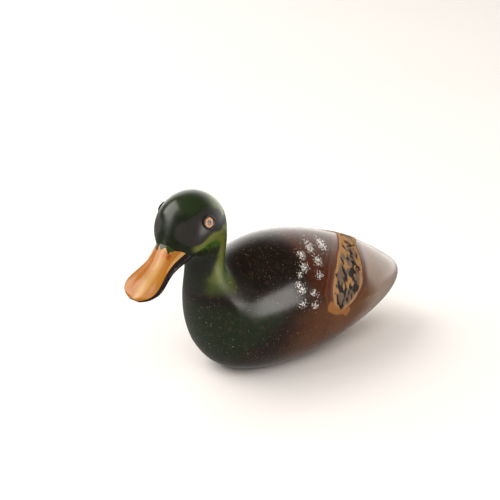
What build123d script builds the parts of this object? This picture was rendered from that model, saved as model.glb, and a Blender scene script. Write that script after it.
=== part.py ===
from build123d import *
from math import copysign, cos, pi, radians, sin, sqrt
import os

# Floating duck decoy: a mallard drake carved from wood, with a hollow body.
# Frame: the duck faces -Y and its left side is +X, with +Z up. The origin is on the
# flat underside, at the middle of the whole length. Millimetres throughout.

# ---- the carved outline -------------------------------------------------------------
# One run of cross-sections leads from the tail tip through the body, up the neck and
# round into the face. Each station names the point on the back line (y, z), the point
# on the keel and throat line (y, z), and the half width between them. The last section
# of the body is the sloping seat that the neck stands on.
BODY_STATIONS = [
    ((149, 55), (151, 50), 3),
    ((146, 60), (150, 44), 15),
    ((131, 70), (132, 30), 30),
    ((103, 86), (101, 15), 42),
    ((63, 102), (61, 1), 49),
    ((23, 112), (23, -5), 53),
    ((-12, 113), (-12, -5), 53),
    ((-36, 106), (-47, 2), 47),
    ((-48, 101), (-70, 20), 39),
    ((-54, 100), (-80, 50), 31),
]
SEAT_STATION = ((-56, 103), (-84, 80), 23)
NECK_STATIONS = [
    ((-54, 111), (-85, 103), 19),
    ((-52, 124), (-89, 114), 20),
]
HEAD_STATIONS = [
    ((-53, 138), (-95, 118), 23),
    ((-60, 157), (-101, 119), 27),
    ((-79, 169), (-105, 117), 28),
    ((-99, 165), (-108, 117), 24),
    ((-109, 151), (-111, 117), 16),
    ((-114, 137), (-114, 119), 11),
]
SECTION_POINTS = 24
EGG_SHAPE = 0.05
ROOM = 400.0

# The head is set a little to its left, and the turn grows up the neck.
HEAD_TURN = 7.0
NECK_TURN_SHARES = [0.3, 0.8]
NECK_CENTRE = Vector(0, -67, 0)

# ---- the cavity, bored out from below ---------------------------------------------
CAVITY_STATIONS = [
    ((96, 68), (96, 34), 20),
    ((63, 86), (63, 14), 32),
    ((23, 96), (23, 6), 38),
    ((-12, 97), (-12, 8), 37),
    ((-31, 88), (-38, 26), 28),
]
CAVITY_FLOOR_Z = 22.0
OPENING_LENGTH = 60.0
OPENING_WIDTH = 24.0
OPENING_START_Z = 0.5

# ---- bottom plate and its screws ----------------------------------------------------
PLATE_LENGTH = 72.0
PLATE_WIDTH = 36.0
PLATE_THICK = 9.0
PLATE_CENTRE_Y = 18.0
PLATE_GAP = 0.15
PLATE_SCREW_SIDE = 15.0
PLATE_SCREW_PITCH = 20.0
SCREW_SHANK = 1.4
SCREW_HEAD = 2.8
SCREW_HEAD_DEPTH = 1.8
SCREW_LENGTH = 18.0
SCREW_SLOT = 0.7

# ---- ballast ------------------------------------------------------------------------
WEIGHT_LENGTH = 54.0
WEIGHT_WIDTH = 20.0
WEIGHT_THICK = 13.0
WEIGHT_SCREW_PITCH = 32.0

# ---- neck fixing --------------------------------------------------------------------
DOWEL_RADIUS = 4.0
DOWEL_LENGTH = 40.0
DOWEL_SIDE = 9.0
DOWEL_Y = -71.0
DOWEL_Z = 91.0
LAG_SEAT_POINT = (0, -36, 50)
LAG_TIP_POINT = (0, -72, 108)
LAG_RADIUS = 2.5
LAG_HEAD_RADIUS = 4.6
LAG_HEAD_THICK = 3.5
WASHER_RADIUS = 7.0
WASHER_THICK = 1.2
SPOT_FACE_RADIUS = 8.0
SPOT_FACE_DEPTH = 30.0

# ---- bill ---------------------------------------------------------------------------
# Each station gives the distance along the bill, the half width, and the heights of
# the crown, the side edge and the underside above the bill's own axis.
BILL_ROOT = (0, -111, 122)
BILL_SLOPE = 35.0
BILL_STATIONS = [
    (-15, 13, 9.5, 3, -7),
    (-6, 13, 9.5, 3, -6.5),
    (4, 12.5, 7, 2.5, -6),
    (14, 13.5, 4.5, 1.5, -5.5),
    (24, 16, 3.5, 1.5, -5),
    (33, 18, 3.2, 1.5, -4.5),
    (40, 17, 2.5, 1, -4),
    (45, 12.5, 2, 0.5, -3.5),
    (48, 6, 1, -0.5, -3),
]
BILL_SIDE_POINTS = 9
MOUTH_DEPTH = 0.8
MOUTH_WIDTH = 1.4
MOUTH_HEIGHT = -1.8
MOUTH_MIDDLE = 20.0
MOUTH_LENGTH = 80.0
MOUTH_SPAN = 60.0
BILL_PIN_RADIUS = 3.0
BILL_PIN_LENGTH = 28.0
BILL_PIN_CENTRE = -15.0
NOSTRIL_ALONG = 4.0
NOSTRIL_SIDE = 6.5
NOSTRIL_RADIUS = 0.9
NOSTRIL_LENGTH = 6.0
NOSTRIL_MIDDLE = 7.5

# ---- eyes ---------------------------------------------------------------------------
EYE_POINT = (26.2, -91, 150)
EYE_FORWARD = 8.0
EYE_UPWARD = 13.0
EYE_RADIUS = 4.2
EYE_DOME = 1.0
PUPIL_RADIUS = 1.9
GLASS_BACK = 1.0
IRIS_THICK = 0.8
PUTTY_RADIUS = 6.0
PUTTY_DEPTH = 3.0
PUTTY_PROUD = 1.0
PUTTY_ROUNDING = 0.9
STEM_RADIUS = 0.6
STEM_LENGTH = 12.0

# ---- line tie -----------------------------------------------------------------------
# A D-ring lies back in a recess, with its straight bar held in the crown of a staple.
STAPLE_WIRE = 1.0
STAPLE_BEND = 2.3
STAPLE_LEG = 14.0
RING_WIRE = 1.0
RING_HALF_WIDTH = 7.0
RING_SIDE = 5.0
RING_PIVOT = (0, -38, 3.5)
RING_DROOP = 9.5
RECESS_DEPTH = 5.4
RECESS_WIDTH = 19.0
RECESS_CORNER = 6.0
RECESS_FRONT_Y = -44.0
RECESS_REAR_Y = -21.0


def with_head(point, turn):
    """A point of the straight head, turned about the neck's upright axis."""
    return (point - NECK_CENTRE).rotate(Axis.Z, turn) + NECK_CENTRE


def section(back, keel, half_width, turn=0.0):
    """One closed cross-section between a back point and a keel point."""
    points = []
    for i in range(SECTION_POINTS):
        angle = 2 * pi * i / SECTION_POINTS
        across = half_width * cos(angle) * (1 - EGG_SHAPE * sin(angle))
        share = (1 + sin(angle)) / 2
        y = keel[0] + (back[0] - keel[0]) * share
        z = keel[1] + (back[1] - keel[1]) * share
        points.append(with_head(Vector(across, y, z), turn))
    return Wire([Edge.make_spline(points, periodic=True)])


def body_block():
    """The body from the tail tip to the neck seat, planed flat underneath."""
    wires = [section(*station) for station in BODY_STATIONS + [SEAT_STATION]]
    under = Pos(0, 0, -ROOM / 2) * Box(ROOM, ROOM, ROOM)
    return Solid.make_loft(wires) - under


def head_block():
    """The neck and head, from the seat up to the face."""
    wires = [section(*SEAT_STATION)]
    for station, share in zip(NECK_STATIONS, NECK_TURN_SHARES):
        wires.append(section(*station, HEAD_TURN * share))
    wires += [section(*station, HEAD_TURN) for station in HEAD_STATIONS]
    return Solid.make_loft(wires)


def round_bar(length, width, thick, centre_y, bottom_z):
    """A flat bar with round ends, lengthways on the underside."""
    outline = Plane((0, centre_y, bottom_z)) * (Rot(0, 0, 90) * SlotOverall(length, width))
    return extrude(outline, thick, dir=(0, 0, 1))


def cavity():
    """The hollow, with a flat floor and a round-ended way down to the plate."""
    hollow = Solid.make_loft([section(*station) for station in CAVITY_STATIONS])
    below = Pos(0, 0, CAVITY_FLOOR_Z - ROOM / 2) * Box(ROOM, ROOM, ROOM)
    way_down = round_bar(
        OPENING_LENGTH,
        OPENING_WIDTH,
        CAVITY_FLOOR_Z,
        PLATE_CENTRE_Y,
        OPENING_START_Z,
    )
    return (hollow - below) + way_down


def wood_screw(x, y):
    """A slotted countersunk screw, driven upwards from the underside."""
    shank = Pos(x, y, SCREW_LENGTH / 2) * Cylinder(SCREW_SHANK, SCREW_LENGTH)
    head = Pos(x, y, SCREW_HEAD_DEPTH / 2) * Cone(SCREW_HEAD, SCREW_SHANK, SCREW_HEAD_DEPTH)
    slot = Pos(x, y, 0) * Box(2 * SCREW_HEAD, SCREW_SLOT, SCREW_SLOT)
    return shank + head - slot


def plate_screws():
    """Six screws round the plate's ledge."""
    rows = [PLATE_CENTRE_Y + PLATE_SCREW_PITCH * i for i in (-1, 0, 1)]
    return [wood_screw(side * PLATE_SCREW_SIDE, y) for y in rows for side in (-1, 1)]


def ballast_screws():
    """Two screws through the plate into the weight."""
    rows = [PLATE_CENTRE_Y + WEIGHT_SCREW_PITCH * i for i in (-0.5, 0.5)]
    return [wood_screw(0, y) for y in rows]


def bottom_plate(block):
    """The oval plate, flush with the carved underside."""
    plate = round_bar(
        PLATE_LENGTH - 2 * PLATE_GAP,
        PLATE_WIDTH - 2 * PLATE_GAP,
        PLATE_THICK,
        PLATE_CENTRE_Y,
        0,
    )
    return plate & block


def ballast_weight():
    """A cast bar with round ends, lying on the plate inside the opening."""
    return round_bar(WEIGHT_LENGTH, WEIGHT_WIDTH, WEIGHT_THICK, PLATE_CENTRE_Y, PLATE_THICK)


def neck_dowels():
    """Two upright dowels across the neck joint."""
    dowel = Cylinder(DOWEL_RADIUS, DOWEL_LENGTH)
    return [Pos(side * DOWEL_SIDE, DOWEL_Y, DOWEL_Z) * dowel for side in (-1, 1)]


def lag_plane():
    """The spot face inside the cavity, with its normal along the lag screw."""
    seat = Vector(*LAG_SEAT_POINT)
    return Plane(origin=seat, x_dir=(1, 0, 0), z_dir=Vector(*LAG_TIP_POINT) - seat)


def neck_lag_screw():
    """A hexagon-headed lag screw, up through the body into the neck."""
    length = (Vector(*LAG_TIP_POINT) - Vector(*LAG_SEAT_POINT)).length
    head_low = -WASHER_THICK - LAG_HEAD_THICK
    head = extrude(Plane((0, 0, head_low)) * RegularPolygon(LAG_HEAD_RADIUS, 6), LAG_HEAD_THICK)
    shank_length = length + WASHER_THICK
    shank = Pos(0, 0, shank_length / 2 - WASHER_THICK) * Cylinder(LAG_RADIUS, shank_length)
    return lag_plane() * (head + shank)


def neck_washer():
    """The washer under the lag screw's head."""
    ring = Cylinder(WASHER_RADIUS, WASHER_THICK) - Cylinder(LAG_RADIUS, WASHER_THICK)
    return lag_plane() * (Pos(0, 0, -WASHER_THICK / 2) * ring)


def spot_face():
    """The room that the washer and the screw head need."""
    room = Pos(0, 0, -SPOT_FACE_DEPTH / 2) * Cylinder(SPOT_FACE_RADIUS, SPOT_FACE_DEPTH)
    return lag_plane() * room


def bill_plane(along=0.0):
    """A plane across the bill: x across, y up the section, z towards the tip."""
    slope = radians(BILL_SLOPE)
    root = Vector(*BILL_ROOT)
    tipward = Vector(0, -cos(slope), -sin(slope))
    return turned_plane(Plane(origin=root + tipward * along, x_dir=(-1, 0, 0), z_dir=tipward))


def turned_plane(plane):
    """A plane of the straight head, turned with the head."""
    origin = with_head(plane.origin, HEAD_TURN)
    x_dir = plane.x_dir.rotate(Axis.Z, HEAD_TURN)
    z_dir = plane.z_dir.rotate(Axis.Z, HEAD_TURN)
    return Plane(origin=origin, x_dir=x_dir, z_dir=z_dir)


def bill_section(along, half_width, crown, edge, under, inset=0.0):
    """One section of the bill: a low crown over a squarer underside."""
    plane = bill_plane(along)
    reach = half_width - inset
    upper = []
    lower = []
    for i in range(BILL_SIDE_POINTS):
        angle = pi * i / (BILL_SIDE_POINTS - 1)
        rise = max(0.0, sin(angle)) if 0 < i < BILL_SIDE_POINTS - 1 else 0.0
        upper.append((reach * cos(angle), edge + (crown - edge) * rise))
        across = copysign(reach * sqrt(abs(cos(angle))), cos(angle))
        lower.append((across, edge + (under - edge) * sqrt(rise)))
    over = Edge.make_spline([plane.from_local_coords(Vector(*p, 0)) for p in upper])
    below = Edge.make_spline([plane.from_local_coords(Vector(*p, 0)) for p in lower])
    return Wire([over, below])


def bill_body(inset=0.0):
    """The bill as one loft, from the tenon in the head to the nail at the tip."""
    return Solid.make_loft([bill_section(*station, inset) for station in BILL_STATIONS])


def bill():
    """The bill with its mouth line cut round the sides and two nostrils."""
    solid = bill_body()
    mouth = Pos(0, MOUTH_HEIGHT, 0) * Box(MOUTH_SPAN, MOUTH_WIDTH, MOUTH_LENGTH)
    sheet = bill_plane(MOUTH_MIDDLE) * mouth
    solid = solid - (sheet - bill_body(MOUTH_DEPTH))
    nostril = Rot(90, 0, 0) * Cylinder(NOSTRIL_RADIUS, NOSTRIL_LENGTH)
    for side in (-1, 1):
        place = Pos(side * NOSTRIL_SIDE, NOSTRIL_MIDDLE, 0)
        solid -= bill_plane(NOSTRIL_ALONG) * (place * nostril)
    return solid


def bill_pin():
    """The dowel that pins the bill's root into the head."""
    return bill_plane(BILL_PIN_CENTRE) * Cylinder(BILL_PIN_RADIUS, BILL_PIN_LENGTH)


def eye_plane(side):
    """The eye's own plane on one side of the head, facing outwards."""
    forward = radians(EYE_FORWARD)
    upward = radians(EYE_UPWARD)
    x, y, z = EYE_POINT
    outward = (side * cos(forward) * cos(upward), -sin(forward) * cos(upward), sin(upward))
    return turned_plane(Plane(origin=(side * x, y, z), x_dir=(0, 0, 1), z_dir=outward))


def eye_glass():
    """A clear button with a domed front."""
    ball_radius = (EYE_RADIUS**2 + EYE_DOME**2) / (2 * EYE_DOME)
    ball = Pos(0, 0, EYE_DOME - ball_radius) * Sphere(ball_radius)
    rod = Pos(0, 0, ball_radius - GLASS_BACK) * Cylinder(EYE_RADIUS, 2 * ball_radius)
    return rod & ball


def eye_iris():
    """The coloured ring behind the glass."""
    ring = Cylinder(EYE_RADIUS, IRIS_THICK) - Cylinder(PUPIL_RADIUS, IRIS_THICK)
    return Pos(0, 0, -GLASS_BACK - IRIS_THICK / 2) * ring


def eye_pupil():
    """The dark disc in the middle of the iris."""
    return Pos(0, 0, -GLASS_BACK - IRIS_THICK / 2) * Cylinder(PUPIL_RADIUS, IRIS_THICK)


def eye_stem():
    """The wire that anchors the glass eye in the wood."""
    top = -GLASS_BACK - IRIS_THICK
    return Pos(0, 0, top - STEM_LENGTH / 2) * Cylinder(STEM_RADIUS, STEM_LENGTH)


def eye_putty():
    """The ring of putty that beds the eye and stands up as its lid."""
    height = PUTTY_DEPTH + PUTTY_PROUD
    ring = Cylinder(PUTTY_RADIUS, height)
    ring = fillet(ring.edges().group_by(Axis.Z)[-1], PUTTY_ROUNDING)
    ring = Pos(0, 0, PUTTY_PROUD - height / 2) * ring
    seat = Cylinder(EYE_RADIUS, 2 * height)
    back = Pos(0, 0, -GLASS_BACK - IRIS_THICK - height) * Cylinder(PUTTY_RADIUS, 2 * height)
    floor = (ring & back) - Cylinder(STEM_RADIUS, 4 * height)
    return (ring - seat) + floor


def line_staple():
    """A U of brass wire driven up into the wood, bent round the D-ring's bar."""
    bend = Rot(0, 90, 0) * Torus(STAPLE_BEND, STAPLE_WIRE)
    above = Pos(0, 0, STAPLE_LEG / 2) * Box(STAPLE_LEG, STAPLE_LEG, STAPLE_LEG)
    staple = bend - above
    for side in (-1, 1):
        leg = Cylinder(STAPLE_WIRE, STAPLE_LEG)
        staple += Pos(0, side * STAPLE_BEND, STAPLE_LEG / 2) * leg
    return Pos(*RING_PIVOT) * staple


def line_ring():
    """The loose D-ring, lying back in its recess with its far side near the floor."""
    bar = Rot(0, 90, 0) * Cylinder(RING_WIRE, 2 * RING_HALF_WIDTH)
    front = Pos(0, -RING_HALF_WIDTH, 0) * Box(4 * RING_HALF_WIDTH, 2 * RING_HALF_WIDTH, 4 * RING_WIRE)
    bow = Torus(RING_HALF_WIDTH, RING_WIRE) - front
    ring = bar + Pos(0, RING_SIDE, 0) * bow
    for side in (-1, 1):
        corner = Pos(side * RING_HALF_WIDTH, 0, 0)
        ring += corner * Sphere(RING_WIRE)
        ring += corner * Pos(0, RING_SIDE / 2, 0) * (Rot(90, 0, 0) * Cylinder(RING_WIRE, RING_SIDE))
    return Pos(*RING_PIVOT) * (Rot(-RING_DROOP, 0, 0) * ring)


def ring_recess():
    """The shallow slot in the underside that takes the ring."""
    length = RECESS_REAR_Y - RECESS_FRONT_Y
    centre = (RECESS_REAR_Y + RECESS_FRONT_Y) / 2
    outline = Plane((0, centre, -1)) * RectangleRounded(RECESS_WIDTH, length, RECESS_CORNER)
    return extrude(outline, RECESS_DEPTH + 1)


def save(name, shape):
    """One STEP file for one named piece, or one group of equal pieces."""
    solids = shape if isinstance(shape, list) else shape.solids()
    whole = Compound(children=[Solid(s.wrapped) for one in solids for s in one.solids()])
    whole.label = name
    export_step(whole, f"parts/{name}.step")


def build():
    """Every piece of the decoy, in its place."""
    block = body_block()
    neck_fixings = neck_dowels() + [neck_lag_screw()]
    plate = bottom_plate(block)
    screws = plate_screws() + ballast_screws()
    staple = line_staple()

    body = block - cavity()
    body -= round_bar(PLATE_LENGTH, PLATE_WIDTH, PLATE_THICK, PLATE_CENTRE_Y, 0)
    body -= ring_recess()
    body -= spot_face()
    for piece in neck_fixings + screws + [staple]:
        body -= piece

    head = head_block()
    beak = bill()
    pin = bill_pin()
    head -= bill_body()
    for piece in neck_fixings + [pin]:
        head -= piece
    beak -= pin

    eyes = {
        "glass": eye_glass,
        "iris": eye_iris,
        "pupil": eye_pupil,
        "stem": eye_stem,
        "putty": eye_putty,
    }
    for side, name in ((1, "left"), (-1, "right")):
        for piece, make in eyes.items():
            placed = eye_plane(side) * make()
            head -= placed
            save(f"{name}_eye_{piece}", placed)

    weight = ballast_weight()
    for screw in screws:
        plate -= screw
        weight -= screw

    save("body_shell", body)
    save("bottom_plate", plate)
    save("bottom_plate_screws", plate_screws())
    save("ballast_weight", weight)
    save("ballast_screws", ballast_screws())
    save("head", head)
    save("bill", beak)
    save("bill_pin", pin)
    save("neck_dowels", neck_dowels())
    save("neck_lag_screw", neck_lag_screw())
    save("neck_washer", neck_washer())
    save("line_staple", staple)
    save("line_ring", line_ring())


os.makedirs("parts", exist_ok=True)
build()
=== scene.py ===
"""A carved, painted and varnished mallard drake decoy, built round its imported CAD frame.

The duck faces -Y with its left side on +X and +Z up. Shapes are worked out in millimetres
and become metres when their mesh is made.
"""

from __future__ import annotations

import logging
import math
from dataclasses import dataclass, field
from enum import Enum

import bpy
import numpy as np
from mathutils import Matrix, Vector


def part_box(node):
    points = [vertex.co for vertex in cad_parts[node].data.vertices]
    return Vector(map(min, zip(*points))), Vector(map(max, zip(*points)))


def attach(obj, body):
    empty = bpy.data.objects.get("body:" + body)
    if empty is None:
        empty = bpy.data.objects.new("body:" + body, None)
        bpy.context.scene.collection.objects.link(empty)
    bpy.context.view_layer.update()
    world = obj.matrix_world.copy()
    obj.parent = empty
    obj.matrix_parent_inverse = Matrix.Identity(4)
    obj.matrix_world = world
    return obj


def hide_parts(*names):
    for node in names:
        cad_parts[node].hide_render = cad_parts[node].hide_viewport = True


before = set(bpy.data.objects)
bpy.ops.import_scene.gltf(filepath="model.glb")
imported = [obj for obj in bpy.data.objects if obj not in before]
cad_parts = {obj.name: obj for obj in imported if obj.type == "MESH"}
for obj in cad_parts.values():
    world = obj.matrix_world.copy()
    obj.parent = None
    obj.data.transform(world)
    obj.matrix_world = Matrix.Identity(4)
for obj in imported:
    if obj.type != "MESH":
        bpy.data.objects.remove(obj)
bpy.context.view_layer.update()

LOG = logging.getLogger("decoy")
METRES = 0.001
Setting = dict[str | int, object]


class Body(Enum):
    """The CAD bodies that a piece can ride on."""

    ROOT = "root"
    RING = "anchor_ring"


class Side(Enum):
    """The duck's two sides, as the sign of X."""

    LEFT = 1
    RIGHT = -1


class Shine(Enum):
    """What a light does: light up surfaces, show as a highlight in gloss, or both."""

    BOTH = "both"
    SOFT = "soft"
    GLOSS = "gloss"


# ---- numbers on surfaces --------------------------------------------------------------


def smooth_step(low: float, high: float, value: np.ndarray) -> np.ndarray:
    """Rises from 0 at low to 1 at high, level at both ends: t * t * (3 - 2 * t).

    Args:
        low: where the rise starts.
        high: where it ends.
        value: what is tested.

    Returns:
        The share, from 0 to 1.
    """
    t = np.clip((np.asarray(value, float) - low) / (high - low), 0.0, 1.0)
    return t * t * (3.0 - 2.0 * t)


def smooth_rows(stations: np.ndarray, at: np.ndarray) -> np.ndarray:
    """A natural cubic through the stations, one unit apart.

    The second slopes m solve m[i-1] + 4 m[i] + m[i+1] = 6 (y[i+1] - 2 y[i] + y[i-1]), and are
    nought at both ends.

    Args:
        stations: one row of values per station.
        at: the places along the stations, from 0 to their count less one.

    Returns:
        One row of values per place.
    """
    count = len(stations)
    system = 4.0 * np.eye(count) + np.eye(count, k=1) + np.eye(count, k=-1)
    system[0], system[-1] = np.eye(count)[0], np.eye(count)[-1]
    bend = np.zeros_like(stations)
    bend[1:-1] = 6.0 * (stations[2:] - 2.0 * stations[1:-1] + stations[:-2])
    slope = np.linalg.solve(system, bend)
    low = np.clip(np.floor(at).astype(int), 0, count - 2)
    t = (at - low)[:, None]
    start, end = stations[low], stations[low + 1]
    before = (1.0 - t) ** 3 - (1.0 - t)
    after = t**3 - t
    return start * (1.0 - t) + end * t + (slope[low] * before + slope[low + 1] * after) / 6.0


def value_noise(points: np.ndarray, size: float, seed: int) -> np.ndarray:
    """Smooth noise from 0 to 1: each corner of a cubic lattice has a hashed value, eased between.

    Args:
        points: places in mm, with the three coordinates last.
        size: the lattice pitch in mm.
        seed: picks another noise of the same kind.

    Returns:
        One value per place.
    """
    place = points / size + 57.0 * seed
    corner = np.floor(place).astype(np.int64)
    t = place - corner
    t = t * t * (3.0 - 2.0 * t)
    total = np.zeros(points.shape[:-1])
    for step in np.ndindex(2, 2, 2):
        key = (corner + np.array(step)) * np.array([73856093, 19349663, 83492791])
        mixed = (key[..., 0] ^ key[..., 1] ^ key[..., 2]) + 1013904223 * (seed + 1)
        mixed = (mixed ^ (mixed >> 13)) * 1274126177 & 0xFFFFFF
        share = np.where(np.array(step) == 1, t, 1.0 - t).prod(axis=-1)
        total += share * mixed / float(0xFFFFFF)
    return total


def rough_noise(points: np.ndarray, size: float, seed: int, octaves: int = 3) -> np.ndarray:
    """Value noise summed over octaves, each half as large and half as strong as the last.

    Args:
        points: places in mm.
        size: the largest feature in mm.
        seed: picks the noise.
        octaves: how many sizes are summed.

    Returns:
        One value per place, about 0 to 1.
    """
    weights = 0.5 ** np.arange(octaves)
    layers = [value_noise(points, size * w, seed + i) * w for i, w in enumerate(weights)]
    return sum(layers) / weights.sum()


def distance_to_path(points: np.ndarray, path: list[tuple[float, float]]) -> np.ndarray:
    """The distance from each 2-D point to the nearest part of a run of straight legs.

    Args:
        points: places, with two coordinates last.
        path: the corners of the run.

    Returns:
        One distance per place, in the same unit.
    """
    nearest = np.full(points.shape[:-1], np.inf)
    for start, end in zip(np.array(path[:-1], float), np.array(path[1:], float)):
        leg = end - start
        share = np.clip(((points - start) @ leg) / (leg @ leg), 0.0, 1.0)[..., None]
        nearest = np.minimum(nearest, np.linalg.norm(points - start - share * leg, axis=-1))
    return nearest


def evenly(outline: np.ndarray, count: int, half: int) -> tuple[np.ndarray, np.ndarray]:
    """Spaces the points of closed outlines evenly by the length along each.

    Args:
        outline: closely drawn outlines, shaped (rings, points, 2), each ending where it starts.
        count: how many points each new outline has.
        half: the number of the old point where the upper half ends.

    Returns:
        The new outlines, and whether each new point is on the upper half.
    """
    step = np.linalg.norm(np.diff(outline, axis=1), axis=-1)
    length = np.concatenate([np.zeros((len(step), 1)), np.cumsum(step, axis=1)], axis=1)
    share = np.linspace(0.0, 1.0, count, endpoint=False)
    rings = [
        np.stack([np.interp(share * far[-1], far, ring[:, i]) for i in range(2)], axis=-1)
        for far, ring in zip(length, outline)
    ]
    return np.array(rings), share[None, :] * length[:, -1:] <= length[:, half : half + 1]


def grid_normals(points: np.ndarray) -> np.ndarray:
    """Unit normals of a grid of points: the cross product of its two slopes.

    Args:
        points: rings in mm, shaped (rings, points round, 3).

    Returns:
        One unit vector per point.
    """
    along = np.gradient(points, axis=0)
    round_about = np.roll(points, -1, axis=1) - np.roll(points, 1, axis=1)
    normal = np.cross(round_about, along)
    return normal / (np.linalg.norm(normal, axis=-1, keepdims=True) + 1e-9)


def raise_skin(points: np.ndarray, height: np.ndarray) -> np.ndarray:
    """Moves the points of a skin outward along their normals.

    Args:
        points: rings in mm, shaped (rings, points round, 3).
        height: how far each point moves, in mm.

    Returns:
        The moved rings.
    """
    normals = grid_normals(points)
    middle = points.mean(axis=1, keepdims=True)
    outward = np.sign((normals * (points - middle)).sum(-1).mean())
    return points + outward * normals * height[..., None]


# ---- meshes ---------------------------------------------------------------------------


def grid_object(
    name: str,
    points: np.ndarray,
    masks: dict[str, np.ndarray] | None = None,
    sharp: float = 40.0,
) -> bpy.types.Object:
    """A closed surface from rings of points, with each end drawn in to a pole.

    Args:
        name: the piece's name.
        points: rings in mm, shaped (rings, points round, 3).
        masks: values for each point, kept as attributes of the mesh.
        sharp: edges that bend by more than this many degrees are drawn sharp.

    Returns:
        The new object, linked to the scene, in metres.
    """
    rows, columns = points.shape[:2]
    poles = np.array([points[0].mean(axis=0), points[-1].mean(axis=0)])
    flat = np.concatenate([points.reshape(-1, 3), poles])
    index = np.arange(rows * columns).reshape(rows, columns)
    beside = np.roll(index, -1, axis=1)
    quads = np.stack([index[:-1], beside[:-1], beside[1:], index[1:]], axis=-1).reshape(-1, 4)
    first = np.full(columns, rows * columns)
    fans = [
        np.stack([first, beside[0], index[0]], axis=-1),
        np.stack([first + 1, index[-1], beside[-1]], axis=-1),
    ]
    corner = flat[quads]
    span = np.cross(corner[:, 2] - corner[:, 0], corner[:, 3] - corner[:, 1])
    volume = np.einsum("ij,ij->", corner.mean(axis=1) - flat.mean(axis=0), span)
    turn = slice(None, None, 1 if volume > 0 else -1)
    faces = quads[:, turn].tolist() + [face for fan in fans for face in fan[:, turn].tolist()]
    mesh = bpy.data.meshes.new(name)
    mesh.from_pydata((flat * METRES).tolist(), [], faces)
    for mask, values in (masks or {}).items():
        ends = [values[0].mean(), values[-1].mean()]
        attribute = mesh.attributes.new(mask, "FLOAT", "POINT")
        whole = np.concatenate([values.ravel(), ends]).astype(np.float32)
        attribute.data.foreach_set("value", whole)
    mesh.shade_smooth()
    mesh.set_sharp_from_angle(angle=math.radians(sharp))
    made = bpy.data.objects.new(name, mesh)
    bpy.context.scene.collection.objects.link(made)
    return made


def prism_object(name: str, outline: np.ndarray, low: float, high: float) -> bpy.types.Object:
    """An upright prism over an outline in X and Y.

    Args:
        name: the piece's name.
        outline: points round the outline in mm, shaped (points, 2).
        low: the height of its foot in mm.
        high: the height of its top in mm.

    Returns:
        The new object.
    """
    rings = np.empty((2, len(outline), 3))
    rings[..., :2] = outline
    rings[..., 2] = [[low], [high]]
    return grid_object(name, rings)


def carve_away(piece: bpy.types.Object, cutters: list[bpy.types.Object]) -> None:
    """Cuts the cutters out of a piece, and removes them.

    Args:
        piece: the closed piece to cut.
        cutters: closed objects, none touching another.
    """
    for cutter in cutters:
        cut = piece.modifiers.new("cut", "BOOLEAN")
        cut.operation = "DIFFERENCE"
        cut.solver = "MANIFOLD"
        cut.object = cutter
    bpy.context.view_layer.update()
    evaluated = piece.evaluated_get(bpy.context.evaluated_depsgraph_get())
    piece.data = bpy.data.meshes.new_from_object(evaluated)
    piece.modifiers.clear()
    for cutter in cutters:
        bpy.data.objects.remove(cutter)


def place(
    piece: bpy.types.Object,
    material: bpy.types.Material,
    slot: str,
    replaced: tuple[str, ...] = (),
    body: Body = Body.ROOT,
) -> None:
    """Gives a new piece its material, its body and the CAD nodes that it stands for.

    Args:
        piece: the new piece.
        material: what it is finished with.
        slot: the record's material slot; not used.
        replaced: the CAD nodes that it stands for.
        body: the CAD body that it rides on.
    """
    piece.data.materials.clear()
    piece.data.materials.append(material)
    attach(piece, body.value)
    if replaced:
        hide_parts(*replaced)
    LOG.info("%s: %d faces", piece.name, len(piece.data.polygons))


def dress(node: str, material: bpy.types.Material) -> None:
    """Gives a CAD node that stays in view its material.

    Args:
        node: the CAD node's name.
        material: what it is finished with.
    """
    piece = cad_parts[node]
    piece.data.materials.clear()
    piece.data.materials.append(material)
    LOG.info("%s: kept from CAD", node)


# ---- finishes -------------------------------------------------------------------------


def linear(code: str) -> tuple[float, float, float, float]:
    """Turns an sRGB hex colour linear.

    Args:
        code: the colour, such as #a1b2c3.

    Returns:
        Linear red, green, blue and alpha.
    """
    shares = [int(code[i : i + 2], 16) / 255.0 for i in (1, 3, 5)]
    bent = [s / 12.92 if s <= 0.04045 else ((s + 0.055) / 1.055) ** 2.4 for s in shares]
    return (*bent, 1.0)


def add_node(
    tree: bpy.types.NodeTree,
    kind: str,
    settings: Setting | None = None,
    links: dict[str | int, bpy.types.NodeSocket] | None = None,
) -> bpy.types.Node:
    """Adds one node to a tree.

    Args:
        tree: the node tree.
        kind: the node's Blender type.
        settings: values for its sockets, by name or number, or for its own properties.
        links: what feeds its sockets, by name or number.

    Returns:
        The new node.
    """
    node = tree.nodes.new(kind)
    later = {}
    for key, value in (settings or {}).items():
        if isinstance(key, str) and hasattr(node, key):
            setattr(node, key, value)
        else:
            later[key] = value
    for key, value in later.items():
        node.inputs[key].default_value = value
    for key, source in (links or {}).items():
        tree.links.new(source, node.inputs[key])
    return node


def per_size(size: float) -> float:
    """The texture scale that gives features of a size in mm on coordinates in metres."""
    return 1.0 / (size * METRES)


def add_noise(
    tree: bpy.types.NodeTree,
    at: bpy.types.NodeSocket,
    size: float,
    detail: float = 5.0,
    rough: float = 0.6,
) -> bpy.types.Node:
    """Adds noise with features of a real size.

    Args:
        tree: the node tree.
        at: coordinates in metres.
        size: the size of its features in mm.
        detail: how many octaves are summed.
        rough: the strength of each octave beside the last.

    Returns:
        The new node.
    """
    settings = {"Scale": per_size(size), "Detail": detail, "Roughness": rough}
    return add_node(tree, "ShaderNodeTexNoise", settings, {"Vector": at})


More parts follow.
